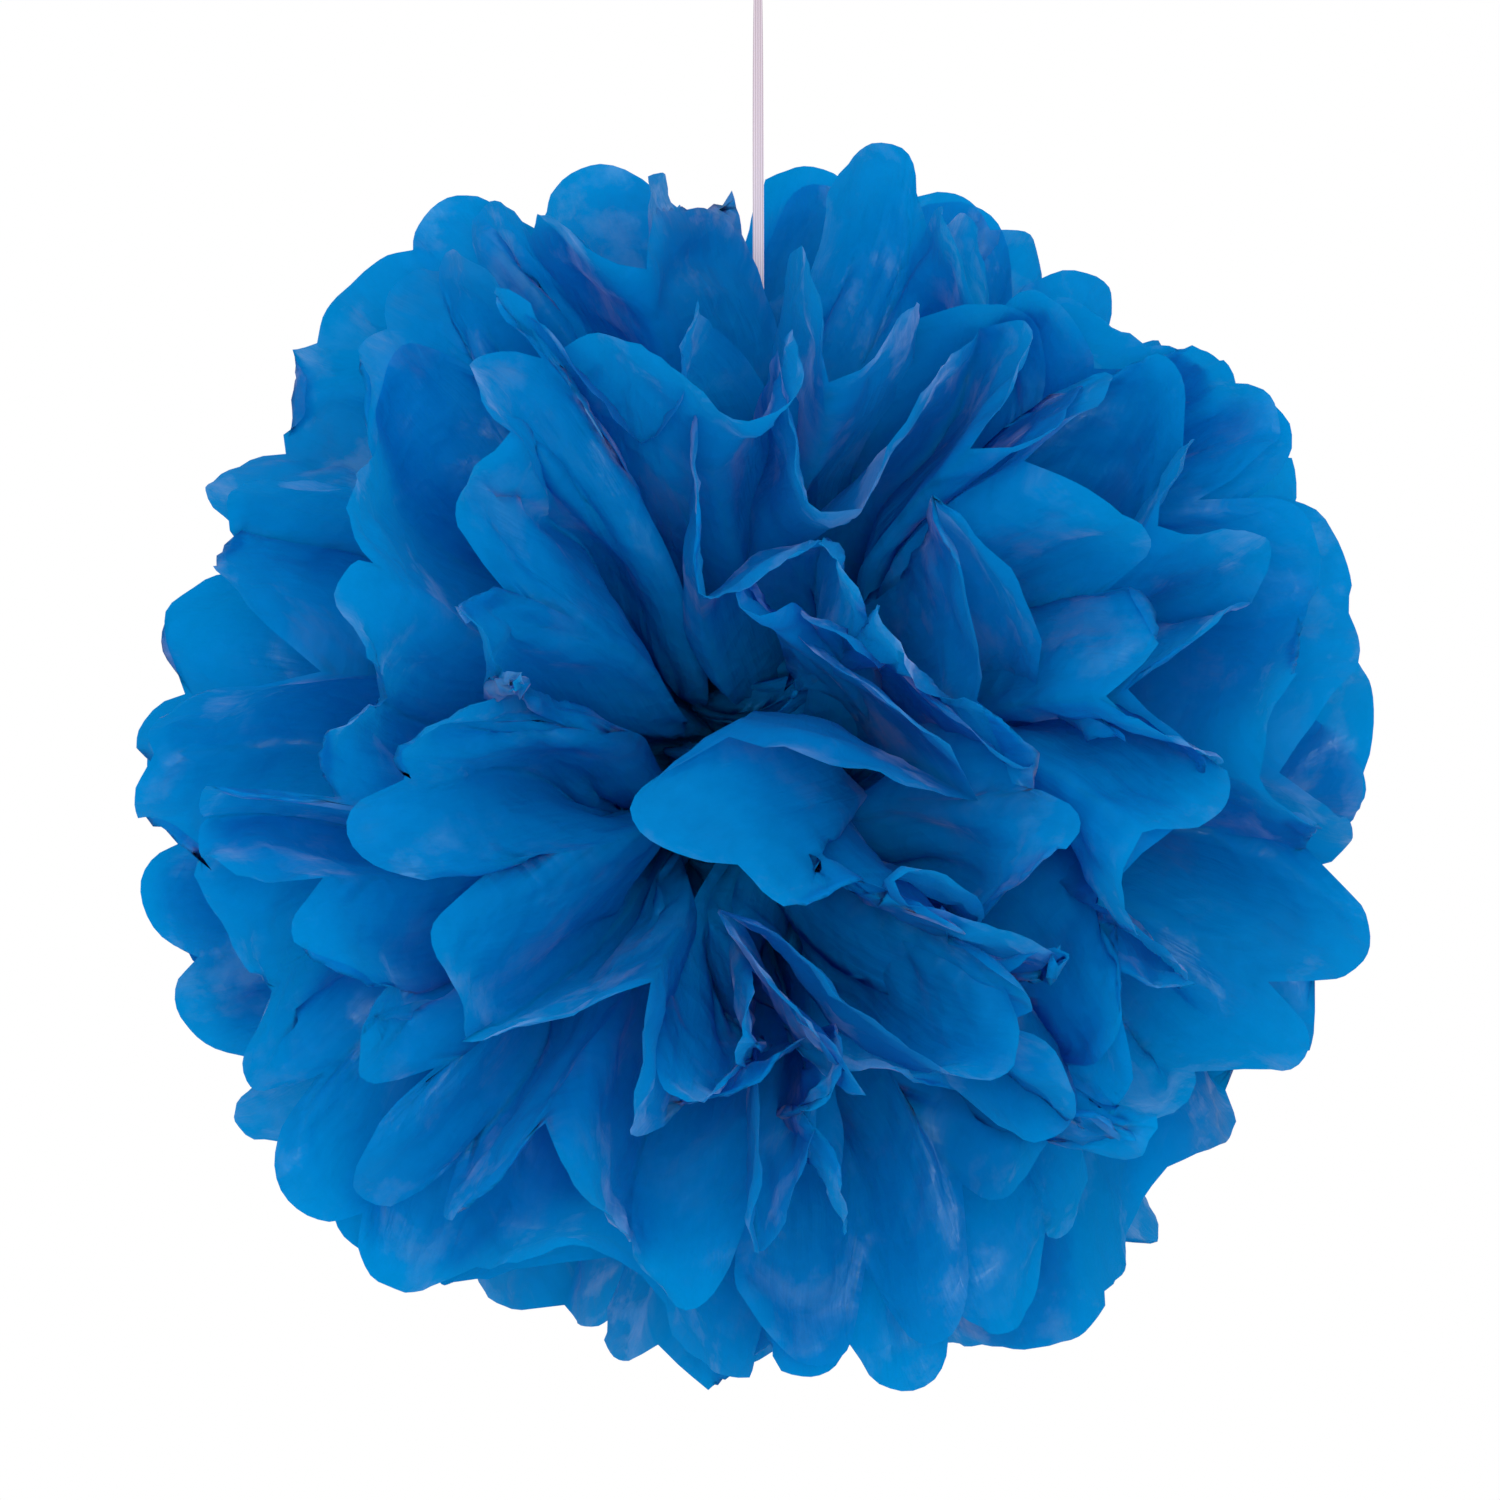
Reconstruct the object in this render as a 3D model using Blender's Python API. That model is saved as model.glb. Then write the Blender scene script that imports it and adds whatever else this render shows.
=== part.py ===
"""Tissue paper pom pom on its hanging ribbon.

Ten sheets of tissue are pleated together like a fan, tied round the middle, cut round at both ends
and pulled apart, five sheets to the front and five to the back, until the petals make a ball.

Frame: metres, +Z up. The origin is the inside top of the ribbon's hanging loop. X runs along the
tied strip, so the two half-fans of every sheet open to +X and -X, and the front of the ball faces -Y.
"""
import math

import bmesh
import bpy
from mathutils import Matrix, Vector

# Paper
SHEET_COUNT = 10
PLEATS = 15  # facets across a sheet, each of which ends in one petal
FACET_WIDTH = 0.048
FAN_REACH = 0.203  # from the waist to a petal's tip
PETAL_DEPTH = 0.022  # from the notch between two petals to the tip
PETAL_ARC_POINTS = 5  # points on a petal's round end, between its notches
PAPER_THICKNESS = 0.0004
PLEAT_ROWS = (0.008, 0.022, 0.045, 0.080, 0.130)  # distances from the waist at which a fold bends
PLEATS_OPEN_BY = 0.070  # the pleats have their full width from here outwards

# How the sheets are pulled apart
TOP_ELEVATION = 77.0  # degrees from the ball's equator to the frontmost sheet
FAN_HALF_ANGLE = 88.0  # degrees from the X axis to a fan's edge
STEEPEST = 88.0  # no fold passes the pole of the ball
LIMIT_HARDNESS = 6.0  # how late, below the steepest angle, a fold starts to be held back
WIDEST_SWING = 22.0  # degrees from a sheet's middle surface to its folds, near the waist
SHEET_WAVE = 3.0  # degrees by which a sheet's petals wander up and down
ELEVATION_AT_WAIST = 0.45  # share of a sheet's elevation that it has where it leaves the waist
CURVED_UP_BY = 0.060  # a sheet has its full elevation from here outwards
AZIMUTH_WANDER = 2.6  # degrees by which the folds stray from an even spacing
WANDER_PER_FOLD = 1.9  # radians
WANDER_PHASE = 0.6
WAVE_PER_FOLD = 1.3  # radians
WAVE_PER_SHEET = 0.9

# Waist
WAIST_HALF_LENGTH = 0.004
WAIST_HALF_HEIGHT = 0.008
SHEET_PITCH = 0.002
GAP = 0.0003

# Wire tie
WIRE_DIAMETER = 0.001
WIRE_X = -0.0026
WIRE_TAIL = 0.014
WIRE_TWISTS = 2.5
WIRE_CORNER = 0.0012
TWIST_STEPS = 22
TWIST_BELOW_WAIST = 0.0010
TWIST_CLEARANCE = 0.00005

# Ribbon
RIBBON_WIDTH = 0.0036
RIBBON_THICKNESS = 0.0005
RIBBON_X = 0.0008
KNOT_SIZE = (0.0044, 0.0034, 0.0040)
LOOP_HEIGHT = 0.050
LOOP_HALF_WIDTH = 0.011
LOOP_STEPS = 28
KNOT_BEVEL = 0.0011
RIBBON_CORNER = 0.0008
BALL_CENTRE_BELOW_ORIGIN = 0.320

BALL_CENTRE = Vector((0.0, 0.0, -BALL_CENTRE_BELOW_ORIGIN))


def clear_scene():
    for old in list(bpy.data.objects):
        bpy.data.objects.remove(old)


def make_material(name, colour, roughness, metallic=0.0):
    material = bpy.data.materials.new(name)
    material.use_nodes = True
    shader = material.node_tree.nodes["Principled BSDF"]
    shader.inputs["Base Color"].default_value = (*colour, 1.0)
    shader.inputs["Roughness"].default_value = roughness
    shader.inputs["Metallic"].default_value = metallic
    return material


def make_object(name, mesh, material):
    mesh.materials.append(material)
    thing = bpy.data.objects.new(name, mesh)
    bpy.context.scene.collection.objects.link(thing)
    return thing


def ease(value):
    value = min(max(value, 0.0), 1.0)
    return value * value * (3.0 - 2.0 * value)


def soft_limit(angle):
    """Degrees, pressed smoothly under the steepest angle, so that the order of the sheets is kept."""
    return angle / (1.0 + abs(angle / STEEPEST) ** LIMIT_HARDNESS) ** (1.0 / LIMIT_HARDNESS)


def sheet_elevation(sheet):
    """Degrees in front of the equator: sheet 0 is the frontmost and the last one the rearmost."""
    return TOP_ELEVATION * (1.0 - 2.0 * sheet / (SHEET_COUNT - 1))


def waist_point(sheet, fold):
    """Where a fold of the right-hand fan leaves the tied waist."""
    return Vector((
        WAIST_HALF_LENGTH,
        (sheet - (SHEET_COUNT - 1) / 2.0) * SHEET_PITCH,
        WAIST_HALF_HEIGHT * (2.0 * fold / PLEATS - 1.0),
    ))


def fold_azimuth(fold):
    """Degrees round the ball from +X, from the bottom edge of a fan to its top edge."""
    stray = math.sin(WANDER_PER_FOLD * fold + WANDER_PHASE) * math.sin(math.pi * fold / PLEATS)
    return FAN_HALF_ANGLE * (2.0 * fold / PLEATS - 1.0) + AZIMUTH_WANDER * stray


def pleat_swing(sheet, fold, reach):
    """Degrees by which a fold stands off its sheet's middle surface, so that facets keep their width."""
    elevation = math.radians(sheet_elevation(sheet))
    spread = math.radians(2.0 * FAN_HALF_ANGLE / PLEATS)
    chord = reach * math.cos(elevation) * spread
    width = FACET_WIDTH * ease(reach / PLEATS_OPEN_BY)
    depth = math.sqrt(max(width**2 - chord**2, 0.0))
    swing = min(math.degrees(math.atan(depth / 2.0 / max(reach, 0.001))), WIDEST_SWING)
    return swing if fold % 2 else -swing


def fold_point(sheet, fold, reach):
    """A point on a fold of the right-hand fan, at a distance from the waist."""
    up_to = ELEVATION_AT_WAIST + (1.0 - ELEVATION_AT_WAIST) * ease(reach / CURVED_UP_BY)
    wave = SHEET_WAVE * math.sin(WAVE_PER_FOLD * fold + WAVE_PER_SHEET * sheet)
    wave *= ease(reach / FAN_REACH)
    elevation = sheet_elevation(sheet) * up_to + pleat_swing(sheet, fold, reach) + wave
    elevation = math.radians(soft_limit(elevation))
    azimuth = math.radians(fold_azimuth(fold))
    direction = Vector((
        math.cos(elevation) * math.cos(azimuth),
        -math.sin(elevation),
        math.cos(elevation) * math.sin(azimuth),
    ))
    return BALL_CENTRE + waist_point(sheet, fold) + reach * direction


def petal_arc(sheet, facet):
    """The round end of one petal, between its two notches."""
    notch = FAN_REACH - PETAL_DEPTH
    points = []
    for step in range(1, PETAL_ARC_POINTS + 1):
        across = step / (PETAL_ARC_POINTS + 1)
        along = notch + PETAL_DEPTH * math.sqrt(1.0 - (2.0 * across - 1.0) ** 2)
        left = fold_point(sheet, facet, along)
        right = fold_point(sheet, facet + 1, along)
        points.append(left.lerp(right, across))
    return points


def make_sheet(sheet, material):
    """One whole sheet: its waist, and a pleated half-fan with round petals on each side of it."""
    shape = bmesh.new()
    reaches = (0.0, *PLEAT_ROWS, FAN_REACH - PETAL_DEPTH)
    waist = {}
    for side in (1, -1):
        flip = Vector((side, 1.0, 1.0))
        grid = [
            [shape.verts.new(fold_point(sheet, fold, reach) * flip) for fold in range(PLEATS + 1)]
            for reach in reaches
        ]
        waist[side] = grid[0]
        for facet in range(PLEATS):
            for near, far in zip(grid, grid[1:]):
                shape.faces.new((near[facet], near[facet + 1], far[facet + 1], far[facet]))
            arc = [shape.verts.new(point * flip) for point in petal_arc(sheet, facet)]
            shape.faces.new((grid[-1][facet], *arc, grid[-1][facet + 1]))
    for facet in range(PLEATS):
        right, left = waist[1], waist[-1]
        shape.faces.new((right[facet], right[facet + 1], left[facet + 1], left[facet]))
    bmesh.ops.triangulate(shape, faces=shape.faces)
    bmesh.ops.recalc_face_normals(shape, faces=shape.faces)
    name = f"tissue_sheet_{sheet + 1:02d}"
    mesh = bpy.data.meshes.new(name)
    shape.to_mesh(mesh)
    shape.free()
    thing = make_object(name, mesh, material)
    solidify = thing.modifiers.new("paper thickness", "SOLIDIFY")
    solidify.thickness = PAPER_THICKNESS
    solidify.offset = 0.0
    return thing


def waist_outline(clearance, corner, points_per_corner=4):
    """A rounded rectangle round the waist, as (y, z), starting in the middle of its bottom run."""
    half_y = (SHEET_COUNT - 1) / 2.0 * SHEET_PITCH + PAPER_THICKNESS / 2.0 + clearance
    half_z = WAIST_HALF_HEIGHT + clearance
    outline = [(0.0, -half_z)]
    corners = ((1, -1, -90.0), (1, 1, 0.0), (-1, 1, 90.0), (-1, -1, 180.0))
    for sign_y, sign_z, start in corners:
        middle = (sign_y * (half_y - corner), sign_z * (half_z - corner))
        for step in range(points_per_corner + 1):
            angle = math.radians(start + 90.0 * step / points_per_corner)
            outline.append((middle[0] + corner * math.cos(angle), middle[1] + corner * math.sin(angle)))
    return outline


def make_wire(material):
    """One turn of wire round the waist, its two ends twisted together in the gap below."""
    radius = WIRE_DIAMETER / 2.0
    turn_radius = radius + GAP / 2.0 + TWIST_CLEARANCE
    turn = waist_outline(GAP + radius, WIRE_CORNER)
    twist = []
    for step in range(TWIST_STEPS + 1):
        share = step / TWIST_STEPS
        angle = 2.0 * math.pi * WIRE_TWISTS * share
        drop = -turn[0][1] + TWIST_BELOW_WAIST + WIRE_TAIL * share
        twist.append((turn_radius * math.sin(angle), turn_radius * math.cos(angle), -drop))
    first = [Vector((x, y, z)) for x, y, z in reversed(twist)]
    second = [Vector((-x, -y, z)) for x, y, z in twist]
    round_waist = [Vector((0.0, y, z)) for y, z in turn[1:]]
    centre = BALL_CENTRE + Vector((WIRE_X, 0.0, 0.0))
    curve = bpy.data.curves.new("waist_wire", "CURVE")
    curve.dimensions = "3D"
    curve.bevel_depth = radius
    curve.bevel_resolution = 2
    curve.use_fill_caps = True
    spline = curve.splines.new("POLY")
    points = first + round_waist + second
    spline.points.add(len(points) - 1)
    for spot, point in zip(spline.points, points):
        spot.co = (*(centre + point), 1.0)
    return make_object("waist_wire", curve, material)


def sweep_ribbon(shape, path, closed):
    """A flat strip of ribbon along a path in the YZ plane or the XZ plane, as one closed body."""
    rings = []
    count = len(path)
    for index, point in enumerate(path):
        before = path[index - 1] if closed or index else point
        after = path[(index + 1) % count] if closed or index < count - 1 else point
        along = (after[0] - before[0]).normalized()
        across = point[1]
        through = along.cross(across).normalized()
        corners = ((1, 1), (-1, 1), (-1, -1), (1, -1))
        rings.append([
            shape.verts.new(
                point[0] + across * (RIBBON_WIDTH / 2.0 * a) + through * (RIBBON_THICKNESS / 2.0 * b)
            )
            for a, b in corners
        ])
    pairs = list(zip(rings, rings[1:]))
    if closed:
        pairs.append((rings[-1], rings[0]))
    for near, far in pairs:
        for corner in range(4):
            other = (corner + 1) % 4
            shape.faces.new((near[corner], near[other], far[other], far[corner]))
    if not closed:
        shape.faces.new(rings[0])
        shape.faces.new(reversed(rings[-1]))


def mesh_from(shape, name):
    bmesh.ops.recalc_face_normals(shape, faces=shape.faces)
    mesh = bpy.data.meshes.new(name)
    shape.to_mesh(mesh)
    shape.free()
    return mesh


def ribbon_piece(name, path, closed):
    shape = bmesh.new()
    sweep_ribbon(shape, path, closed)
    return mesh_from(shape, name)


def knot_piece(name, centre, size):
    shape = bmesh.new()
    place = Matrix.Translation(centre) @ Matrix.Diagonal((*size, 1.0))
    bmesh.ops.create_cube(shape, size=1.0, matrix=place)
    bmesh.ops.bevel(
        shape, geom=shape.edges[:], offset=KNOT_BEVEL, segments=2, affect="EDGES", profile=0.5
    )
    return mesh_from(shape, name)


def make_ribbon(material):
    """One length of ribbon: knotted round the waist, straight up, and knotted into a loop."""
    across = Vector((1.0, 0.0, 0.0))
    turn = waist_outline(GAP + RIBBON_THICKNESS / 2.0, RIBBON_CORNER)
    offset = BALL_CENTRE + Vector((RIBBON_X, 0.0, 0.0))
    round_waist = [(offset + Vector((0.0, y, z)), across) for y, z in turn]
    waist_top = offset.z + WAIST_HALF_HEIGHT + GAP
    low_knot = Vector((RIBBON_X, 0.0, waist_top + KNOT_SIZE[2] / 2.0))
    high_knot = Vector((0.0, 0.0, -LOOP_HEIGHT - KNOT_SIZE[2] / 2.0))
    run = [(low_knot, across), (low_knot.lerp(high_knot, 0.5), across), (high_knot, across)]
    loop = []
    start = high_knot.z
    top = RIBBON_THICKNESS / 2.0
    for step in range(LOOP_STEPS):
        angle = 2.0 * math.pi * step / LOOP_STEPS
        rise = (1.0 - math.cos(angle)) / 2.0
        side = LOOP_HALF_WIDTH * math.sin(angle) * math.sqrt(rise)
        loop.append((Vector((0.0, side, start + (top - start) * rise)), across))
    base = make_object("hanging_ribbon", ribbon_piece("hanging_ribbon", run, False), material)
    extras = (
        ribbon_piece("ribbon_turn", round_waist, True),
        knot_piece("low_knot", low_knot, KNOT_SIZE),
        knot_piece("high_knot", high_knot, KNOT_SIZE),
        ribbon_piece("ribbon_loop", loop, True),
    )
    for mesh in extras:
        helper = bpy.data.objects.new(f"guide_{mesh.name}", mesh)
        bpy.context.scene.collection.objects.link(helper)
        helper.hide_render = True
        helper.display_type = "WIRE"
        union = base.modifiers.new(mesh.name, "BOOLEAN")
        union.operation = "UNION"
        union.object = helper
    return base


def main():
    clear_scene()
    tissue = make_material("blue_tissue", (0.002, 0.133, 0.434), 0.55)
    satin = make_material("satin_ribbon", (0.62, 0.53, 0.62), 0.45)
    wire = make_material("florist_wire", (0.35, 0.36, 0.38), 0.35, metallic=1.0)
    for sheet in range(SHEET_COUNT):
        make_sheet(sheet, tissue)
    make_wire(wire)
    make_ribbon(satin)


main()
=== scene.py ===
# %% [markdown]
# # A tissue paper pom pom, petal by petal
# Ten sheets of blue tissue are stacked, pleated like a fan, tied across the middle with wire, cut
# round at both ends and pulled apart, one sheet after another, until the petals make a ball. A
# narrow satin ribbon, knotted round the tie, carries it. This lesson builds each sheet as the
# paper it is: a flat cut shape of fixed size, folded and curled, and pulled back towards its flat
# lengths. A sheet is a single surface. Real tissue is 0.03 mm thick, and with two faces a petal would
# scatter the light twice.

# %% Load the frame and keep its parts
import math

import bpy
import numpy as np
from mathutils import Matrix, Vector


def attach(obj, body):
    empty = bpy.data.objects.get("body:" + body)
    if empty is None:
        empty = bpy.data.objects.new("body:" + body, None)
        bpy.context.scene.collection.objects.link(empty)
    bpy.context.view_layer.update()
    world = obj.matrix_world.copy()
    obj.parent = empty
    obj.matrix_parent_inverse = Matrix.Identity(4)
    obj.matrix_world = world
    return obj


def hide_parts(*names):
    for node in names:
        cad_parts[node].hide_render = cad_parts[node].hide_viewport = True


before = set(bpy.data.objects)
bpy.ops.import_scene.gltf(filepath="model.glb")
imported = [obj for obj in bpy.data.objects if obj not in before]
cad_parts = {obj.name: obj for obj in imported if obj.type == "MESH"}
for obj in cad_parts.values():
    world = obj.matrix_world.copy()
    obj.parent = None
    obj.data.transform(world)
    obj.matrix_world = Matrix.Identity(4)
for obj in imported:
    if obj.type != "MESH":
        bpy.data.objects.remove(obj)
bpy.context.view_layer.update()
MM = 0.001
BALL_CENTRE = np.array((0.0, 0.0, -0.320))
SHEET_NAMES = sorted(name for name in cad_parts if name.startswith("tissue_sheet"))
SHEETS = len(SHEET_NAMES)

# %% [markdown]
# ## The view
# The pom pom hangs at eye level and the camera looks straight at the front of the flower. A long
# lens from a metre and a half away keeps the front petals from swelling. The ball fills five
# sixths of the picture, and the ribbon runs out of its top edge.

# %% Place the camera
VIEW_WIDTH = 0.4875  # metres seen across the middle of the ball
LENS = 110.0
SENSOR = 36.0
camera = bpy.data.objects.new("camera", bpy.data.cameras.new("camera"))
camera.data.lens = LENS
camera.data.sensor_width = SENSOR
camera_distance = VIEW_WIDTH / 2.0 * LENS / (SENSOR / 2.0)
camera.location = (-2.6 * MM, -camera_distance, BALL_CENTRE[2] + 8.0 * MM)
camera.rotation_euler = (math.radians(90.0), 0.0, 0.0)
bpy.context.scene.collection.objects.link(camera)
bpy.context.scene.camera = camera
print("camera stands", round(camera_distance, 3), "m from the ball's middle")

# %% [markdown]
# ## Small helpers
# Colours are written as the sRGB hex values that a picture editor shows, and one function turns
# them into the linear values that shaders use. Another adds a shader node with its settings and
# its links in one call.

# %% Colour and node helpers


def linear(hex_colour):
    """An sRGB hex colour as linear red, green, blue and alpha."""
    parts = [int(hex_colour[i:i + 2], 16) / 255.0 for i in (0, 2, 4)]
    return (*[c / 12.92 if c <= 0.04045 else ((c + 0.055) / 1.055) ** 2.4 for c in parts], 1.0)


def add_node(tree, kind, links=None, **settings):
    """Adds a node. settings are its properties or sockets; links maps its inputs to other outputs."""
    node = tree.nodes.new(kind)
    for key, value in settings.items():
        if hasattr(node, key):
            setattr(node, key, value)
        else:
            node.inputs[key.replace("_", " ")].default_value = value
    for key, output in (links or {}).items():
        tree.links.new(output, node.inputs[key])
    return node


def new_material(name):
    material = bpy.data.materials.new(name)
    material.use_nodes = True
    return material, material.node_tree, material.node_tree.nodes["Principled BSDF"]


def ease(value):
    """A smooth step from 0 to 1."""
    value = np.clip(value, 0.0, 1.0)
    return value * value * (3.0 - 2.0 * value)


def mesh_object(name, points, faces):
    mesh = bpy.data.meshes.new(name)
    mesh.from_pydata([tuple(p) for p in points], [], [tuple(int(i) for i in f) for f in faces])
    thing = bpy.data.objects.new(name, mesh)
    bpy.context.scene.collection.objects.link(thing)
    return thing


def select_only(thing):
    bpy.ops.object.select_all(action="DESELECT")
    thing.select_set(True)
    bpy.context.view_layer.objects.active = thing


# %% [markdown]
# ## The hanging ribbon
# The real one is 3 mm satin ribbon: a flat woven strip. It is knotted round the waist of the ball,
# runs up between the two half-fans, and ends above the view in a knotted loop for the hook. A flat
# strip is swept along one smooth line. Its edges turn slowly about that line on the way up, which
# is why a hanging ribbon looks wide in one place and narrow in the next.

# %% Route of the ribbon
RIBBON_WIDTH = 3.6 * MM
RIBBON_THICKNESS = 0.4 * MM
WAIST_TOP = BALL_CENTRE[2] + 8.3 * MM
LOOP_KNOT = -54.0 * MM
LOOP_HALF_WIDTH = 11.0 * MM
LOOP_TOP = 0.2 * MM
LOOP_STEPS = 28
waist_turn = [  # millimetres from the ball's middle, just beside the wire
    (0.8, y, z)
    for y, z in ((0.0, 8.8), (-8.6, 8.7), (-9.6, 7.6), (-9.7, 0.0), (-9.6, -7.6), (-8.6, -8.6),
                 (0.0, -8.6), (8.6, -8.6), (9.6, -7.6), (9.7, 0.0), (9.6, 7.6), (8.6, 8.7), (1.0, 9.0))
]
ribbon_route = [BALL_CENTRE + np.array(p) * MM for p in waist_turn]
ribbon_route += [np.array((0.7 * MM, 0.0, WAIST_TOP + h * MM)) for h in (2.5, 6.0, 14.0)]
ribbon_route += [np.array((x * MM, 0.0, z)) for x, z in
                 ((0.4, -0.26), (0.2, -0.20), (0.1, -0.14), (0.0, -0.09), (0.0, LOOP_KNOT - 3.0 * MM))]
for step in range(1, LOOP_STEPS):
    turn = 2.0 * math.pi * step / LOOP_STEPS
    rise = (1.0 - math.cos(turn)) / 2.0
    side = LOOP_HALF_WIDTH * math.sin(turn) * math.sqrt(rise)
    ribbon_route.append(np.array((0.0, side, LOOP_KNOT + (LOOP_TOP - LOOP_KNOT) * rise)))
ribbon_route.append(np.array((0.0, -0.5 * MM, LOOP_KNOT)))


def smooth_line(points, spacing):
    """Points at an even spacing on a smooth curve through the given ones."""
    pts = np.array(points)
    padded = np.vstack([2 * pts[0] - pts[1], pts, 2 * pts[-1] - pts[-2]])
    fine = []
    for a, b, c, d in zip(padded, padded[1:], padded[2:], padded[3:]):
        t = np.linspace(0.0, 1.0, 24, endpoint=False)[:, None]
        leaving = (c - a) / 2.0
        arriving = (d - b) / 2.0
        fine.append(
            (2 * t**3 - 3 * t**2 + 1) * b + (t**3 - 2 * t**2 + t) * leaving
            + (-2 * t**3 + 3 * t**2) * c + (t**3 - t**2) * arriving
        )
    fine = np.vstack([*fine, pts[-1:]])
    run = np.concatenate([[0.0], np.cumsum(np.linalg.norm(np.diff(fine, axis=0), axis=1))])
    steps = np.linspace(0.0, run[-1], int(run[-1] / spacing) + 1)
    return np.stack([np.interp(steps, run, fine[:, axis]) for axis in range(3)], 1), steps


ribbon_line, ribbon_run = smooth_line(ribbon_route, 1.6 * MM)

# %% Sweep the ribbon


def sweep_strip(name, line, turn, width, thickness):
    """A flat strip with a slightly domed face along a line; turn is its twist at each point."""
    along = np.gradient(line, axis=0)
    along /= np.linalg.norm(along, axis=1, keepdims=True)
    across = np.tile(np.array((1.0, 0.0, 0.0)), (len(line), 1))
    across -= along * (along * across).sum(1, keepdims=True)
    across /= np.linalg.norm(across, axis=1, keepdims=True)
    through = np.cross(along, across)
    wide = across * np.cos(turn)[:, None] + through * np.sin(turn)[:, None]
    thick = np.cross(along, wide)
    section = ((0.5, 0.4), (0.5, -0.4), (0.0, -0.62), (-0.5, -0.4), (-0.5, 0.4), (0.0, 0.38))
    rings = [line + wide * width * a + thick * thickness * b for a, b in section]
    points = np.stack(rings, 1).reshape(-1, 3)
    sides = len(section)
    faces = []
    for ring in range(len(line) - 1):
        for side in range(sides):
            a, b = ring * sides + side, ring * sides + (side + 1) % sides
            faces.append((a, b, b + sides, a + sides))
    faces.append(tuple(range(sides))[::-1])
    last = (len(line) - 1) * sides
    faces.append(tuple(range(last, last + sides)))
    return mesh_object(name, points, faces)


TURN_STARTS = BALL_CENTRE[2] + 0.17
TURN_RISE = 0.09
TURN_AT_LOOP = 48.0
TURN_BLUR = 13
height_up = np.clip((ribbon_line[:, 2] - TURN_STARTS) / TURN_RISE, 0.0, 1.0)
in_run = ribbon_line[:, 2] < LOOP_KNOT
ribbon_twist = np.radians(TURN_AT_LOOP) * height_up**1.5 * in_run
blur = np.ones(TURN_BLUR) / TURN_BLUR
ribbon_twist = np.convolve(np.pad(ribbon_twist, TURN_BLUR // 2, mode="edge"), blur, "valid")
ribbon = sweep_strip("satin_ribbon", ribbon_line, ribbon_twist, RIBBON_WIDTH, RIBBON_THICKNESS)
print("ribbon strip has", len(ribbon.data.polygons), "faces")

# %% Knot the ribbon
KNOT_POINTS = 46
KNOT_LOBE = 1.7
KNOT_SPAN = 2.7  # a lobe and the ring it grows from
KNOT_SIZE = 1.25 * MM
KNOT_HEIGHT = 1.0 * MM
KNOT_STRAND_WIDTH = 2.4 * MM
KNOT_STRAND_THICKNESS = 0.5 * MM


def knot_line(centre, size, height):
    """The line of a small pulled-tight overhand knot: a flattened trefoil."""
    t = np.linspace(0.0, 2.0 * math.pi, KNOT_POINTS)
    x = (np.sin(t) + KNOT_LOBE * np.sin(2 * t)) / KNOT_SPAN * size
    y = (np.cos(t) - KNOT_LOBE * np.cos(2 * t)) / KNOT_SPAN * size
    z = -np.sin(3 * t) * height
    return centre + np.stack([x, y, z], 1)


def add_knot(name, centre):
    line = knot_line(np.array(centre), KNOT_SIZE, KNOT_HEIGHT)
    turn = np.linspace(0.4, 3.0, len(line))
    return sweep_strip(name, line, turn, KNOT_STRAND_WIDTH, KNOT_STRAND_THICKNESS)


knots = [
    add_knot("loop_knot", (0.0, 0.0, LOOP_KNOT)),
    add_knot("waist_knot", (0.8 * MM, 0.0, WAIST_TOP + 2.6 * MM)),
]
select_only(ribbon)
for knot in knots:
    knot.select_set(True)
bpy.ops.object.join()
bpy.ops.object.shade_smooth_by_angle(angle=math.radians(50.0))
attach(ribbon, "root")
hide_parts("hanging_ribbon")
print("ribbon and its knots are one piece with", len(ribbon.data.polygons), "faces")

# %% [markdown]
# ## The paper, flat
# Each sheet is 720 mm wide and 426 mm long. Fifteen facets of 48 mm cross each half, and the end of
# every facet is cut round, so that it becomes a petal. `u` counts facets across the sheet and `s` is
# the distance from the waist. Near the waist the folds are gathered by the tie, so the sheet's
# usable width narrows there.

# %% Paper sizes
FACETS = 15
FACET_WIDTH = 48.0 * MM
FAN_REACH = 209.0 * MM
PETAL_DEPTH = 21.0 * MM
WAIST_HALF_LENGTH = 4.0 * MM
WAIST_HALF_HEIGHT = 7.6 * MM
SHEET_PITCH = 1.9 * MM
LEVELS = 64
COLUMNS_PER_FACET = 14
ROWS = 66
ROW_SPREAD = 0.92
SEED = 11
GATHERED_SHARE = 0.10
GATHERED_REACH = 75.0 * MM
FIRST_LEVEL = 0.5 * MM

reach = np.linspace(FIRST_LEVEL, FAN_REACH, LEVELS)
across = np.linspace(0.0, FACETS, FACETS * COLUMNS_PER_FACET + 1)


def gathered(s):
    """How much of its width the paper has at a distance from the waist."""
    return GATHERED_SHARE + (1.0 - GATHERED_SHARE) * ease(s / GATHERED_REACH)


facet_width = FACET_WIDTH * gathered(reach)
print("a sheet is", FACETS * FACET_WIDTH, "by", 2 * (FAN_REACH + WAIST_HALF_LENGTH), "m")

# %% [markdown]
# ## Folds that keep the paper's width
# Seen end on, a pleated sheet is a zigzag line of fixed length squeezed into a shorter arc. So the
# line is built from its direction: it leaves each fold level, swings up or down by an angle, and
# comes back level at the next fold. A small angle makes wide open petals and a large one makes deep
# folds. A table turns the height that a facet must climb into that angle, and halving the interval
# finds the fold height at which the whole line just spans the half-fan.

# %% Direction of the paper across one facet
ANGLES = np.radians(np.linspace(0.0, 115.0, 116))
SAMPLES = (np.arange(24) + 0.5) / 24.0


def swing_shape(share, crispness):
    """0 at the folds and 1 between them; crisper paper turns more sharply at its folds."""
    return np.tanh(crispness * np.sin(np.pi * np.clip(share, 0.0, 1.0))) / np.tanh(crispness)


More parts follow.
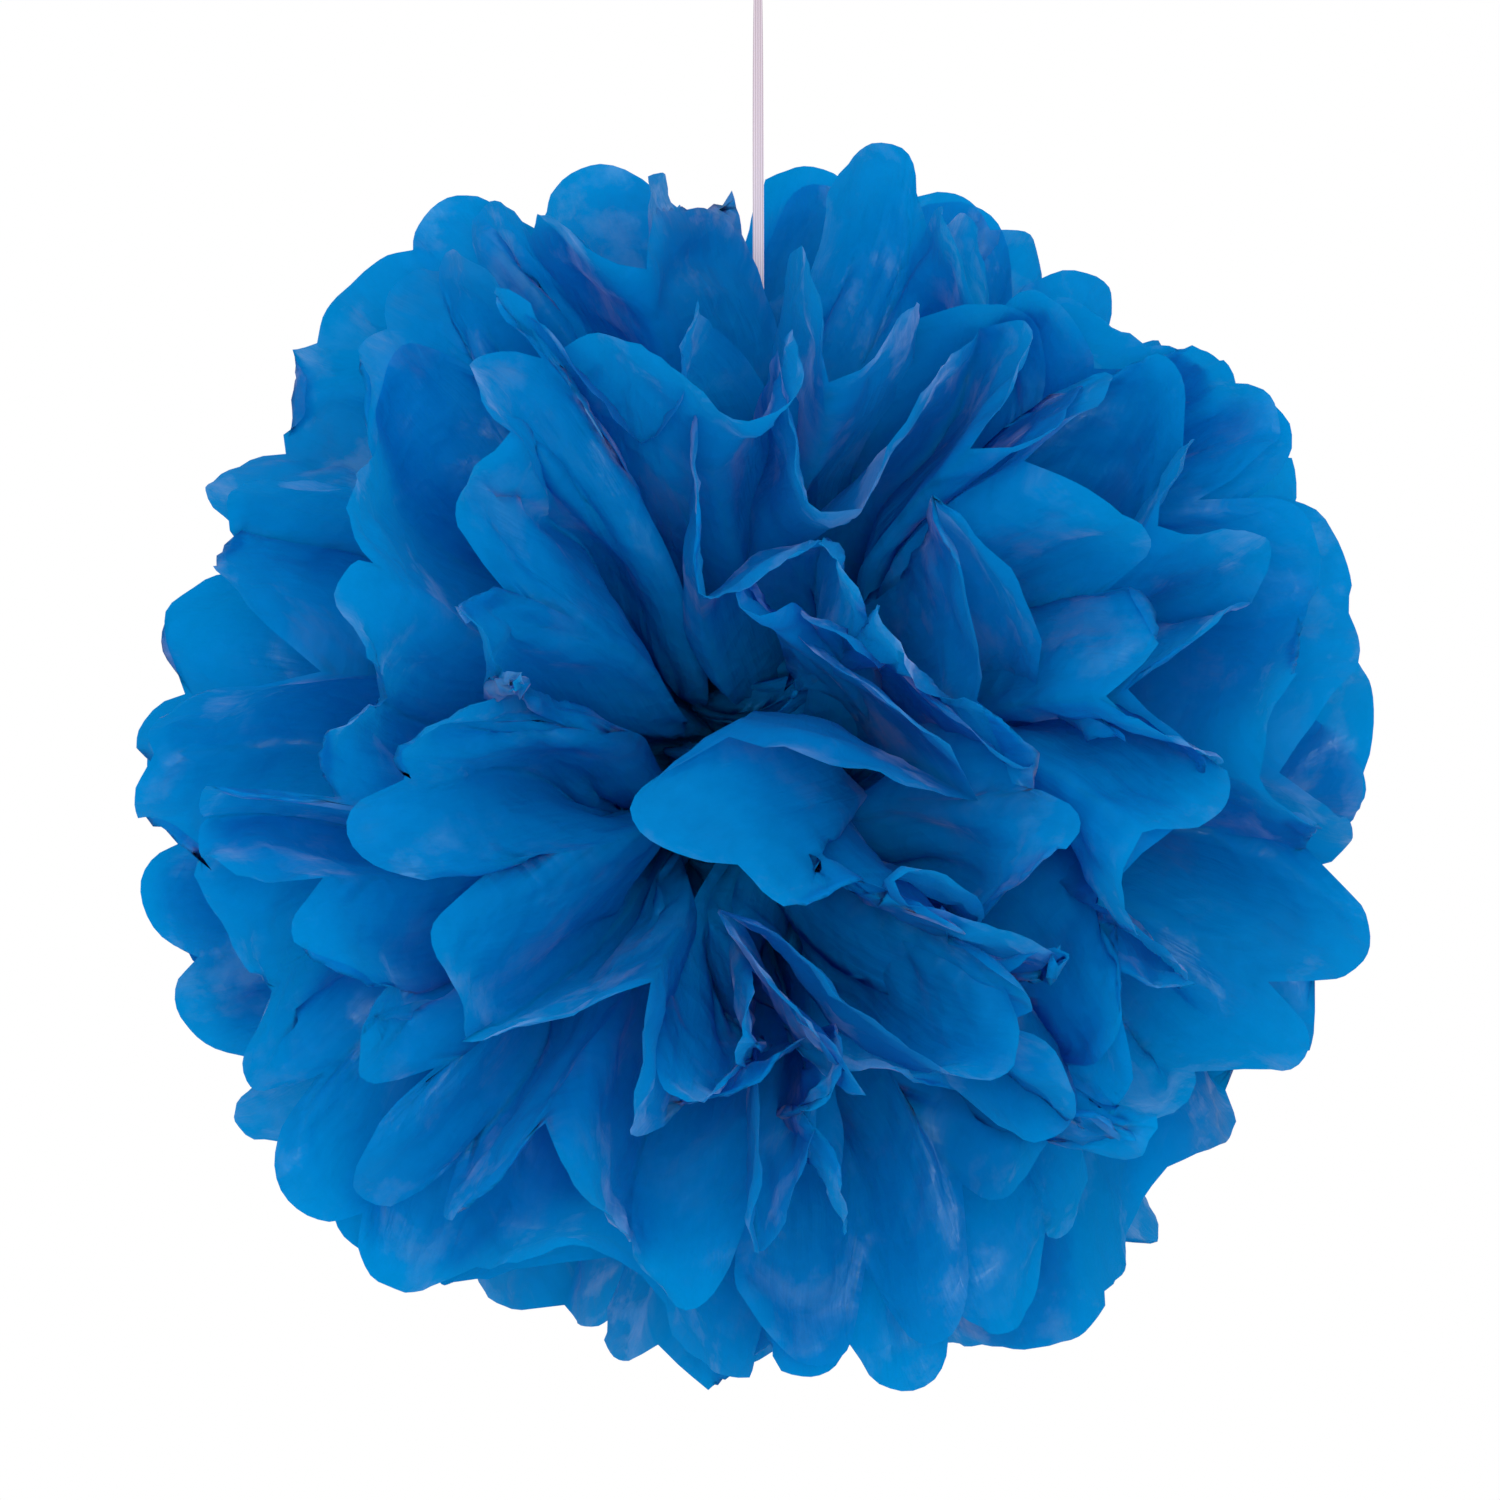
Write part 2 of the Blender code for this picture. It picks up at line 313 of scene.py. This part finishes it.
def climb_table(crispness):
    """The share of its width that a facet climbs, for each angle."""
    return np.sin(ANGLES[:, None] * swing_shape(SAMPLES, crispness)[None]).mean(1)


def held_back(angle, steepest, hardness):
    """Degrees, pressed smoothly under the steepest angle so that no fold passes the pole."""
    return angle / (1.0 + np.abs(angle / steepest) ** hardness) ** (1.0 / hardness)


# %% [markdown]
# ## Pulling the sheets apart
# Fingers lift each sheet by a different amount. `elevation` is the angle of a sheet above the ball's
# equator, towards the front. The frontmost sheet's left half stands nearly upright and flops over
# the middle of the flower, and its right half lies back. Every fold gets its own height, wander and
# curl. Near the waist all sheets share one set of these, because they were folded together, and from
# about a third of the way out each has its own.

# %% How each sheet is pulled
ELEVATION = {1: (62.0, 48.0, 35.0, 21.0, 7.5), -1: (63.0, 52.0, 39.0, 24.0, 8.0)}
FAN_HALF_ANGLE = math.radians(91.3)
FOLD_VARIETY = 0.25
WANDER = 6.0 * MM
WAVE = 4.5
TWIST = 7.0
CURL = 24.0
CURL_BIAS = 3.0
CRISP_INSIDE = 5.0
CRISP_OUTSIDE = 3.5
SHARED_VARIETY = 0.10
SHARED_WANDER = 3.0  # millimetres
LIFT_VARIETY = 1.5


def settle(values):
    """Neighbouring folds pull each other along."""
    return np.convolve(np.pad(values, 1, mode="edge"), (0.25, 0.5, 0.25), "valid")


def pull_sheet(sheet, side):
    """Azimuth and elevation of one half-sheet, for every level and column, and its own dice."""
    shared = np.random.default_rng(SEED * 100 + (7 if side > 0 else 8))
    dice = np.random.default_rng(SEED * 1000 + sheet * 10 + (side > 0))
    folds = FACETS + 1
    front = sheet < SHEETS / 2
    lifted = ELEVATION[side][min(sheet, SHEETS - 1 - sheet)] * (1 if front else -1)
    lifted += LIFT_VARIETY * dice.normal()
    shared_height = shared.normal(0, SHARED_VARIETY, folds)
    own_height = np.clip(dice.normal(0, FOLD_VARIETY, folds), -0.8, 0.9)
    shared_drift = settle(shared.normal(0, 1, folds))
    own_drift = settle(dice.normal(0, 1, folds))
    curl = np.interp(across, np.arange(folds), dice.normal(CURL_BIAS * np.sign(lifted), CURL, folds))
    wave = np.interp(across, np.arange(folds), WAVE * own_drift)
    twist = math.radians(dice.uniform(-1, 1) * TWIST)
    up_down = (-1.0) ** np.arange(folds)
    own = ease((reach - 62.0 * MM) / (100.0 * MM))
    near = ease(reach / (60.0 * MM))
    crisp = CRISP_INSIDE * (1 - own) + CRISP_OUTSIDE * own
    rising = lifted * (0.5 + 0.5 * ease(reach / (70.0 * MM)))
    tip = np.clip((reach / FAN_REACH - 0.55) / 0.45, 0, 1) ** 1.8
    column = np.minimum(across.astype(int), FACETS - 1)
    share = across - column
    azimuth = np.empty((LEVELS, len(across)))
    elevation = np.empty((LEVELS, len(across)))
    for level, s in enumerate(reach):
        climbs = climb_table(crisp[level])
        most = int(np.argmax(climbs))
        shape = swing_shape(share, crisp[level])
        step = np.diff(across) * facet_width[level]
        heights = up_down * (1 + shared_height * (1 - own[level]) + own_height * own[level])
        own_part = own_drift * WANDER * own[level]
        drift = shared_drift * SHARED_WANDER * MM * (1 - own[level]) * near[level] + own_part
        low, high = 0.0, facet_width[level] * 1.15
        for _ in range(14):
            fold_height = (low + high) / 2.0
            level_at_fold = heights * fold_height / 2.0 + drift
            climb = np.diff(level_at_fold)
            need = np.minimum(np.abs(climb) / facet_width[level], climbs[most])
            angle = np.interp(need, climbs[:most + 1], ANGLES[:most + 1])
            heading = (np.sign(climb) * angle)[column] * shape
            heading = (heading[1:] + heading[:-1]) / 2.0
            off = np.concatenate([[0.0], np.cumsum(np.sin(heading) * step)]) + level_at_fold[0]
            plain = np.clip(rising[level] + np.degrees(off / s), -80.0, 80.0)
            least = 0.5 * s * math.cos(math.radians(rising[level]))
            radius = np.maximum(s * np.cos(np.radians(plain)), least)
            radius = radius + WAIST_HALF_LENGTH
            sweep = np.cos(heading) * step / ((radius[1:] + radius[:-1]) / 2.0)
            if sweep.sum() > 2.0 * FAN_HALF_ANGLE:
                low = fold_height
            else:
                high = fold_height
        around = np.concatenate([[0.0], np.cumsum(sweep)])
        around = (around / around[-1] * 2.0 - 1.0) * FAN_HALF_ANGLE
        azimuth[level] = around + twist * own[level] * (1 - (around / FAN_HALF_ANGLE) ** 2)
        lifted_by = rising[level] + np.degrees(off / s) + wave * own[level] + curl * tip[level]
        elevation[level] = held_back(lifted_by, 87.0, 6.0)
    return azimuth, elevation, dice


# %% [markdown]
# ## Sheets that lie on each other
# Pulled by chance alone, sheets would pass through their neighbours. All of them turn about the same
# waist, so at any one distance from it each sheet is a line on a sphere, and the sheet in front must
# stay in front. Wherever two lines would cross, both are pushed back by half of the overlap, again
# and again, and each push is spread a little to the paper around it. The creasing and relaxing that come
# later let some neighbours pass through each other again.

# %% Push crossing sheets apart
CLEARANCE = 3.4 * MM
ROUNDS = 20


def lie_in_order(azimuths, elevations):
    clearance = np.degrees(CLEARANCE / np.maximum(reach, 20.0 * MM))
    first = int(np.searchsorted(reach, 45.0 * MM))
    ordered = [np.maximum.accumulate(a, axis=1) + np.arange(a.shape[1])[None] * 1e-9 for a in azimuths]
    pushed = [np.zeros_like(e) for e in elevations]
    for _ in range(ROUNDS):
        for i in range(SHEETS - 1):
            front, back = elevations[i] + pushed[i], elevations[i + 1] + pushed[i + 1]
            for level in range(first, LEVELS):
                behind = np.interp(azimuths[i][level], ordered[i + 1][level], back[level])
                before = np.interp(azimuths[i + 1][level], ordered[i][level], front[level])
                pushed[i][level] += 0.5 * np.maximum(behind + clearance[level] - front[level], 0)
                pushed[i + 1][level] -= 0.5 * np.maximum(back[level] + clearance[level] - before, 0)
        for push in pushed:
            push[:, 1:-1] += 0.20 * ((push[:, :-2] + push[:, 2:]) / 2 - push[:, 1:-1])
            push[1:-1] += 0.25 * ((push[:-2] + push[2:]) / 2 - push[1:-1])
    print("largest push", round(float(max(np.abs(p).max() for p in pushed)), 1), "degrees")
    return [held_back(e + p, 87.0, 12.0) for e, p in zip(elevations, pushed)]


# %% [markdown]
# ## From angles to paper in space
# The seam between the two half-fans isn't straight on a fluffed ball: petals of one side press over
# to the other. So the seam wanders, both halves by the same amount. The front left half-sheet is also
# turned about the upright seam, so that it leans over the middle of the flower, and its neighbours
# follow a little. The front sheets part at the top, and the two beside the ribbon leave it room.

# %% Place the half-sheets
SEAM_WANDER = 3.5
FLOP = {(0, -1): 34.0, (1, -1): 10.0, (0, 1): 9.0}  # degrees turned about the upright seam
SAG = 0.35
TOP_SLIT = 7.0
SEAM_WAVES = 4.2
SEAM_WAVE_RUN = 45.0
EDGE_POWER = 6
SLIT_POWER = 8
RIBBON_ROOM = 0.016
WAIST_BLEND = 12 * MM


def place_sheet(sheet, side, azimuth, elevation):
    s = reach[:, None]
    wander = math.radians(SEAM_WANDER) * side * ease((s - 20 * MM) / (60 * MM))
    wander = wander * np.sin(np.radians(elevation) * SEAM_WAVES + s / MM / SEAM_WAVE_RUN + 0.5)
    edge = np.clip(azimuth / FAN_HALF_ANGLE, -1, 1)
    beside_ribbon = sheet in (SHEETS // 2 - 1, SHEETS // 2)
    top_wander = 0.0 if beside_ribbon else ((1 + edge) / 2) ** EDGE_POWER
    around = azimuth + wander * (top_wander - ((1 - edge) / 2) ** EDGE_POWER)
    if sheet < SHEETS / 2:
        slit = math.radians(TOP_SLIT) * ease((s - 110 * MM) / (70 * MM))
        around = around - slit * ((1 + edge) / 2) ** SLIT_POWER
    up = np.radians(elevation)
    from_here = 0.0
    if beside_ribbon:
        around = around * (1.0 - RIBBON_ROOM * np.clip(edge, 0, 1))
        from_here = np.where(around > 0, FAN_REACH, 28 * MM)
    closed = 1.0 - ease((s - from_here) / WAIST_BLEND) * np.sin(around) ** 4
    x = WAIST_HALF_LENGTH * closed + s * np.cos(up) * np.cos(around)
    y = (sheet - (SHEETS - 1) / 2) * SHEET_PITCH - s * np.sin(up)
    z = WAIST_HALF_HEIGHT * np.sin(around) + s * np.cos(up) * np.sin(around)
    flop = math.radians(FLOP.get((sheet, side), 0.0)) * ease((s - WAIST_BLEND) / (95 * MM))
    x, y = x * np.cos(flop) + y * np.sin(flop), y * np.cos(flop) - x * np.sin(flop)
    z = z - SAG * np.maximum(-x, 0) ** 1.3 / (60 * MM) ** 0.3
    return np.stack([x, y, z], -1)


def cut_petals(points, dice):
    """Cuts the round ends: rows of points from the waist to each column's own rim."""
    column = np.minimum(across.astype(int), FACETS - 1)
    share = across - column
    tips = FAN_REACH - np.abs(dice.normal(0, 5.0 * MM, FACETS))
    notches = PETAL_DEPTH * np.clip(dice.normal(1, 0.35, FACETS + 1), 0.3, 1.7)
    pointed = np.clip(dice.normal(0.85, 0.3, FACETS), 0.4, 1.7)[column]
    notch = notches[column] * (1 - share) + notches[column + 1] * share
    share = np.clip(share + dice.normal(0, 0.13, FACETS)[column] * np.sin(np.pi * share), 0, 1)
    roundness = np.sqrt(np.clip(1 - (2 * share - 1) ** 2, 0, 1)) ** pointed
    rim = np.interp(across, np.arange(FACETS) + 0.5, tips) - notch * (1 - roundness)
    rows = (np.linspace(0, 1, ROWS + 1) ** ROW_SPREAD)[:, None] * (rim - reach[0])[None] + reach[0]
    place = (rows - reach[0]) / (reach[1] - reach[0])
    level = np.clip(place.astype(int), 0, LEVELS - 2)
    part = (place - level)[..., None]
    columns = np.arange(len(across))[None]
    cut = points[level, columns] * (1 - part) + points[level + 1, columns] * part
    return cut, np.stack([np.broadcast_to(across * FACET_WIDTH, rows.shape), rows], -1)


# %% [markdown]
# ## Creases from handling
# Thin paper keeps every touch: short straight ridges run out from the folds, and a few cross them.
# Each is a low roof along a line on the flat sheet, pushed out along the surface's normal. Then every
# edge of the mesh is pulled back towards its flat length, small buckles are added on top, and a few
# petals have a corner folded over.

# %% Crease and relax
BUCKLES = ((58.0, 0.75), (37.0, 0.5), (23.0, 0.28), (15.0, 0.14))  # length and height, in millimetres
WAVES_PER_BUCKLE = 5
BEND_ACROSS = 61 * MM
BEND_ALONG = 47 * MM


def normals_of(points):
    normal = np.cross(np.gradient(points, axis=1), np.gradient(points, axis=0))
    return normal / np.maximum(np.linalg.norm(normal, axis=-1, keepdims=True), 1e-12)


def buckle(points, flat, dice):
    """Small buckles of several sizes: sums of waves that cross each other at chance angles."""
    x, s = flat[..., 0], flat[..., 1]
    height = np.zeros_like(s)
    for size, lift in BUCKLES:
        for _ in range(WAVES_PER_BUCKLE):
            way = dice.uniform(0, 2 * math.pi)
            phase = dice.uniform(0, 2 * math.pi)
            bend = np.sin(x / BEND_ACROSS + phase) * 1.2 + np.sin(s / BEND_ALONG + 2 * phase)
            travel = (x * math.cos(way) + s * math.sin(way)) * 2 * math.pi / (size * MM)
            wave = np.sin(travel + phase + bend)
            height += (1 - 2 * np.abs(wave) ** 0.8) * lift * MM / 2
    grows = ease((s - 60 * MM) / (60 * MM)) * (0.5 + 0.9 * ease((s - 130 * MM) / (80 * MM)))
    return points + normals_of(points) * (height * grows)[..., None]


def crease(points, flat, dice):
    x, s = flat[..., 0], flat[..., 1]
    lift = np.zeros_like(s)
    for facet in range(FACETS):
        for _ in range(dice.integers(4, 9)):
            at_x = (facet + dice.uniform(0.15, 0.85)) * FACET_WIDTH
            at_s = dice.uniform(0.45, 1.0) * FAN_REACH
            heading = dice.normal(math.pi / 2, 0.25) if dice.random() < 0.7 else dice.uniform(0, math.pi)
            aside = -(x - at_x) * math.sin(heading) + (s - at_s) * math.cos(heading)
            along = (x - at_x) * math.cos(heading) + (s - at_s) * math.sin(heading)
            width = dice.uniform(8, 20) * MM
            length = dice.uniform(20, 60) * MM
            roof = np.maximum(0, 1 - np.sqrt((aside / width) ** 2 + 0.004)) * np.exp(-((along / length) ** 2))
            lift += dice.choice((-1, 1)) * dice.uniform(0.7, 2.2) * MM * roof
    return points + normals_of(points) * (lift * ease((s - 50 * MM) / (50 * MM)))[..., None]


def relax(points, flat, rounds=50, hold=0.006):
    """Pulls every edge of the mesh towards its length on the flat sheet, and smooths hard kinks."""
    start = points.copy()
    x = points.copy()
    u, s = flat[..., 0], flat[..., 1]
    usable = gathered(s)
    free = ease((s - 30 * MM) / (60 * MM)) * 0.98 + 0.02
    free[s < 12 * MM] = 0
    rows, columns = s.shape
    pairs = []
    for odd in (0, 1):
        wide, tall = 2 * ((columns - odd) // 2), 2 * ((rows - odd) // 2)
        every, low, high = slice(None), slice(odd, odd + wide, 2), slice(odd + 1, odd + wide, 2)
        pairs.append(((every, low), (every, high), 0.9))
        low, high = slice(odd, odd + tall, 2), slice(odd + 1, odd + tall, 2)
        pairs.append(((low, every), (high, every), 0.9))
        pairs.append(((low, slice(0, columns - 1)), (high, slice(1, columns)), 0.35))
        pairs.append(((low, slice(1, columns)), (high, slice(0, columns - 1)), 0.35))
    give = np.where(np.arange(1, columns - 1) % COLUMNS_PER_FACET == 0, 0.06, 0.25)
    give = give[None, :, None] * free[:, 1:-1, None]
    for _ in range(rounds):
        for a, b, pull in pairs:
            rest = np.hypot((u[a] - u[b]) * (usable[a] + usable[b]) / 2, s[a] - s[b])
            gap = x[b] - x[a]
            length = np.maximum(np.sqrt((gap * gap).sum(-1)), 1e-9)
            move = (pull * (length - rest) / length / np.maximum(free[a] + free[b], 1e-9))[..., None] * gap
            x[a] += move * free[a][..., None]
            x[b] -= move * free[b][..., None]
        x[:, 1:-1] += ((x[:, :-2] + x[:, 2:]) / 2 - x[:, 1:-1]) * give
        x[1:-1] += ((x[:-2] + x[2:]) / 2 - x[1:-1]) * 0.20 * free[1:-1, :, None]
        x += (start - x) * hold
    return x


# %% Fold over some corners


def at_place(points, row, column):
    """Points between the rows and columns of the grid."""
    row = np.clip(row, 0, points.shape[0] - 1.001)
    column = np.clip(column, 0, points.shape[1] - 1.001)
    r, c = row.astype(int), column.astype(int)
    a, b = (row - r)[..., None], (column - c)[..., None]
    low = points[r, c] * (1 - b) + points[r, c + 1] * b
    return low * (1 - a) + (points[r + 1, c] * (1 - b) + points[r + 1, c + 1] * b) * a


def fold_corners(points, flat, dice, count=5):
    """Dog-ears: the paper beyond a line near a petal's corner is turned back over the petal."""
    x, s = flat[..., 0], flat[..., 1]
    folded = points.copy()
    normal = normals_of(points)
    rim = flat[-1, :, 1]
    for facet in dice.choice(FACETS, count, replace=False):
        corner = dice.choice((-1.0, 1.0))
        slope = math.radians(dice.uniform(40.0, 75.0))
        away = corner * math.cos(slope), math.sin(slope)
        at_x = (facet + 0.5 + corner * dice.uniform(0.10, 0.26)) * FACET_WIDTH
        at_s = FAN_REACH - dice.uniform(9.0, 17.0) * MM
        beyond = (x - at_x) * away[0] + (s - at_s) * away[1]
        notches = [facet * COLUMNS_PER_FACET, (facet + 1) * COLUMNS_PER_FACET]
        beyond = beyond - max(beyond[:, notches].max(), 0.0)  # the line stays clear of both notches
        turned = (beyond > 0) & (x >= facet * FACET_WIDTH) & (x <= (facet + 1) * FACET_WIDTH)
        back_x, back_s = x - 2 * beyond * away[0], s - 2 * beyond * away[1]
        column = back_x / FACET_WIDTH * COLUMNS_PER_FACET
        its_rim = np.interp(column, np.arange(len(rim)), rim)
        row = np.clip((back_s - reach[0]) / (its_rim - reach[0]), 0, 1) ** (1 / ROW_SPREAD) * ROWS
        lift = dice.choice((-1.0, 1.0)) * (0.5 * MM + 0.25 * beyond)
        flap = at_place(points, row, column) + at_place(normal, row, column) * lift[..., None]
        folded = np.where(turned[..., None], flap, folded)
    return folded


# %% Make all the sheets
half_sheets = {}
for side in (1, -1):
    pulled = [pull_sheet(sheet, side) for sheet in range(SHEETS)]
    elevations = lie_in_order([p[0] for p in pulled], [p[1] for p in pulled])
    for sheet, ((azimuth, _, dice), elevation) in enumerate(zip(pulled, elevations)):
        points, flat = cut_petals(place_sheet(sheet, side, azimuth, elevation), dice)
        points = buckle(relax(crease(points, flat, dice), flat), flat, dice)
        points = fold_corners(points, flat, dice)
        points[..., 0] *= side
        half_sheets[sheet, side] = points + BALL_CENTRE, flat


def build_sheet(sheet, material):
    right, flat_right = half_sheets[sheet, 1]
    left, flat_left = half_sheets[sheet, -1]
    grid = np.concatenate([left[::-1], right])
    flat = np.concatenate([flat_left[::-1] * (1, -1), flat_right])
    rows, columns = grid.shape[:2]
    index = np.arange(rows * columns).reshape(rows, columns)
    corners = (index[:-1, :-1], index[:-1, 1:], index[1:, 1:], index[1:, :-1])
    faces = np.stack(corners, -1).reshape(-1, 4)
    piece = mesh_object(f"petals_{sheet + 1:02d}", grid.reshape(-1, 3), faces)
    layer = piece.data.uv_layers.new(name="flat_sheet")
    flat = flat.reshape(-1, 2) + (sheet * 1.0, 0.0)
    layer.data.foreach_set("uv", flat[faces.reshape(-1)].astype(np.float32).ravel())
    piece.data.polygons.foreach_set("use_smooth", [True] * len(piece.data.polygons))
    piece.data.materials.append(material)
    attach(piece, "root")
    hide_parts(SHEET_NAMES[sheet])
    return piece


# %% [markdown]
# ## Dyed tissue
# Tissue is thin machine-glazed paper, dyed right through. Light comes through it, so petals glow
# where they are lit from behind and shadows stay blue. The rolls leave a weak, blotchy gloss that
# shows as a pale bloom on petals that face the light. Its fibres lie in clouds a few millimetres
# across, and handling leaves a fine crinkle.

# %% Tissue material
SHEEN_AT_RIM = 0.6


def tissue_material():
    material, tree, paper = new_material("blue_tissue")
    flat = add_node(tree, "ShaderNodeUVMap", uv_map="flat_sheet").outputs["UV"]
    on_sheet = {"Vector": flat}
    clouds = add_node(tree, "ShaderNodeTexNoise", on_sheet, Scale=160.0, Detail=4.0, Roughness=0.6)
    fibres = add_node(tree, "ShaderNodeTexNoise", on_sheet, Scale=900.0, Detail=2.0, Roughness=0.7)
    crinkle = add_node(tree, "ShaderNodeTexVoronoi", on_sheet, feature="DISTANCE_TO_EDGE", Scale=110.0)
    blotches = add_node(tree, "ShaderNodeTexNoise", on_sheet, Scale=30.0, Detail=7.0, Roughness=0.62)
    colour = add_node(tree, "ShaderNodeValToRGB", {"Fac": clouds.outputs["Fac"]})
    colour.color_ramp.elements[0].position = 0.30
    colour.color_ramp.elements[0].color = linear("007AB8")
    colour.color_ramp.elements[1].position = 0.72
    colour.color_ramp.elements[1].color = linear("0082C4")
    tree.links.new(colour.outputs["Color"], paper.inputs["Base Color"])
    bloom = add_node(tree, "ShaderNodeMapRange", {"Value": blotches.outputs["Fac"]}, From_Min=0.52,
                     From_Max=0.64, To_Min=0.04, To_Max=0.95)
    tree.links.new(bloom.outputs["Result"], paper.inputs["Specular IOR Level"])
    parts = add_node(tree, "ShaderNodeSeparateXYZ", {"Vector": flat})
    distance = add_node(tree, "ShaderNodeMath", {0: parts.outputs["Y"]}, operation="ABSOLUTE")
    outer = add_node(tree, "ShaderNodeMapRange", {"Value": distance.outputs["Value"]}, From_Min=0.11,
                     From_Max=0.20)
    rim_sheen = add_node(tree, "ShaderNodeMath", {0: outer.outputs["Result"]}, operation="MULTIPLY")
    rim_sheen.inputs[1].default_value = SHEEN_AT_RIM
    rubbed = add_node(tree, "ShaderNodeMath", {0: bloom.outputs["Result"], 1: rim_sheen.outputs["Value"]},
                      operation="MULTIPLY")
    tree.links.new(rubbed.outputs["Value"], paper.inputs["Sheen Weight"])
    paper.inputs["Sheen Roughness"].default_value = 0.45
    paper.inputs["Sheen Tint"].default_value = linear("D0D4FF")
    rough = add_node(tree, "ShaderNodeMapRange", {"Value": clouds.outputs["Fac"]}, From_Min=0.35,
                     From_Max=0.65, To_Min=0.32, To_Max=0.55)
    tree.links.new(rough.outputs["Result"], paper.inputs["Roughness"])
    paper.inputs["Specular Tint"].default_value = (0.62, 0.80, 1.0, 1.0)
    along = add_node(tree, "ShaderNodeMapping", {"Vector": flat}, Scale=(150.0, 16.0, 1.0))
    streaks = add_node(tree, "ShaderNodeTexNoise", {"Vector": along.outputs["Vector"]}, Scale=1.0,
                       Detail=3.0, Roughness=0.55)
    fine = add_node(tree, "ShaderNodeBump", {"Height": fibres.outputs["Fac"]}, Strength=0.25,
                    Distance=0.15 * MM)
    onto_fine = {"Height": crinkle.outputs["Distance"], "Normal": fine.outputs["Normal"]}
    folds = add_node(tree, "ShaderNodeBump", onto_fine, Strength=0.4, Distance=1.6 * MM)
    onto_folds = {"Height": streaks.outputs["Fac"], "Normal": folds.outputs["Normal"]}
    waves = add_node(tree, "ShaderNodeBump", onto_folds, Strength=0.35, Distance=3.0 * MM)
    bumpy = waves.outputs["Normal"]
    tree.links.new(bumpy, paper.inputs["Normal"])
    through = add_node(tree, "ShaderNodeBsdfTranslucent", {"Normal": bumpy}, Color=linear("0094DC"))
    mix = add_node(tree, "ShaderNodeMixShader", Fac=0.52)
    tree.links.new(paper.outputs["BSDF"], mix.inputs[1])
    tree.links.new(through.outputs["BSDF"], mix.inputs[2])
    tree.links.new(mix.outputs["Shader"], tree.nodes["Material Output"].inputs["Surface"])
    return material


tissue = tissue_material()
petals = [build_sheet(sheet, tissue) for sheet in range(SHEETS)]
print("sheets:", len(petals), "pieces,", sum(len(p.data.polygons) for p in petals), "faces")

# %% [markdown]
# ## Satin ribbon and wire
# Satin has long floating threads along the ribbon, which give it a soft shine along its length.
# The tie is soft annealed wire: plain steel, a little dull.

# %% Ribbon and wire materials


def satin_material():
    material, tree, satin = new_material("woven_satin")
    place = add_node(tree, "ShaderNodeTexCoord").outputs["Object"]
    threads = add_node(tree, "ShaderNodeTexWave", {"Vector": place}, bands_direction="X", Scale=420.0,
                       Distortion=0.6, Detail=1.0)
    # Both thread colours carry a painted pink reflection on white satin; only the step between the two tones
    # is the weave's own.
    shade = add_node(tree, "ShaderNodeValToRGB", {"Fac": threads.outputs["Fac"]})
    shade.color_ramp.elements[0].color = linear("A5959F")
    shade.color_ramp.elements[1].color = linear("C6B8C2")
    tree.links.new(shade.outputs["Color"], satin.inputs["Base Color"])
    satin.inputs["Roughness"].default_value = 0.38
    satin.inputs["Anisotropic"].default_value = 0.5
    bump = add_node(tree, "ShaderNodeBump", {"Height": threads.outputs["Fac"]}, Strength=0.25,
                    Distance=0.1 * MM)
    tree.links.new(bump.outputs["Normal"], satin.inputs["Normal"])
    return material


def wire_material():
    material, tree, steel = new_material("annealed_steel_wire")
    place = add_node(tree, "ShaderNodeTexCoord").outputs["Object"]
    drawn = add_node(tree, "ShaderNodeTexNoise", {"Vector": place}, Scale=700.0, Detail=3.0)
    rough = add_node(tree, "ShaderNodeMapRange", {"Value": drawn.outputs["Fac"]}, To_Min=0.28, To_Max=0.48)
    steel.inputs["Base Color"].default_value = linear("A9ABB0")
    steel.inputs["Metallic"].default_value = 1.0
    tree.links.new(rough.outputs["Result"], steel.inputs["Roughness"])
    return material


ribbon.data.materials.clear()
ribbon.data.materials.append(satin_material())
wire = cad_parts["waist_wire"]
wire.material_slots[0].material = wire_material()
print("materials:", [m.name for m in bpy.data.materials if m.users])

# %% [markdown]
# ## Studio
# A white room: an even white surround fills every shadow, one large soft light hangs above and in
# front, and a second stands by the camera. The pale floor is far below, under the hanging ball.

# %% Floor, lights and surround
FLOOR_Z = -2.5
bpy.ops.object.select_all(action="DESELECT")
bpy.ops.mesh.primitive_circle_add(vertices=96, radius=3.0, fill_type="NGON", location=(0.0, 0.0, FLOOR_Z))
floor = bpy.context.object
floor.name = "pale_floor"
floor_material, floor_tree, floor_shader = new_material("pale_floor")
floor_shader.inputs["Base Color"].default_value = linear("F4F4F4")
floor_shader.inputs["Roughness"].default_value = 0.8
floor.data.materials.append(floor_material)


def soft_light(name, place, size, watts, aim):
    light = bpy.data.objects.new(name, bpy.data.lights.new(name, "AREA"))
    light.data.shape = "DISK"
    light.data.size = size
    light.data.energy = watts
    light.location = place
    light.rotation_euler = (Vector(aim) - Vector(place)).to_track_quat("-Z", "Y").to_euler()
    bpy.context.scene.collection.objects.link(light)


soft_light("key_light", (-0.5, -1.5, 1.0), 1.2, 8.0, BALL_CENTRE)
soft_light("front_light", (0.1, -2.2, -0.25), 1.0, 25.0, BALL_CENTRE)
surround = bpy.data.worlds.new("white_surround")
bpy.context.scene.world = surround
surround.use_nodes = True
surround.node_tree.nodes["Background"].inputs["Color"].default_value = (1.0, 1.0, 1.0, 1.0)
surround.node_tree.nodes["Background"].inputs["Strength"].default_value = 1.0
bpy.context.scene.view_settings.view_transform = "Standard"
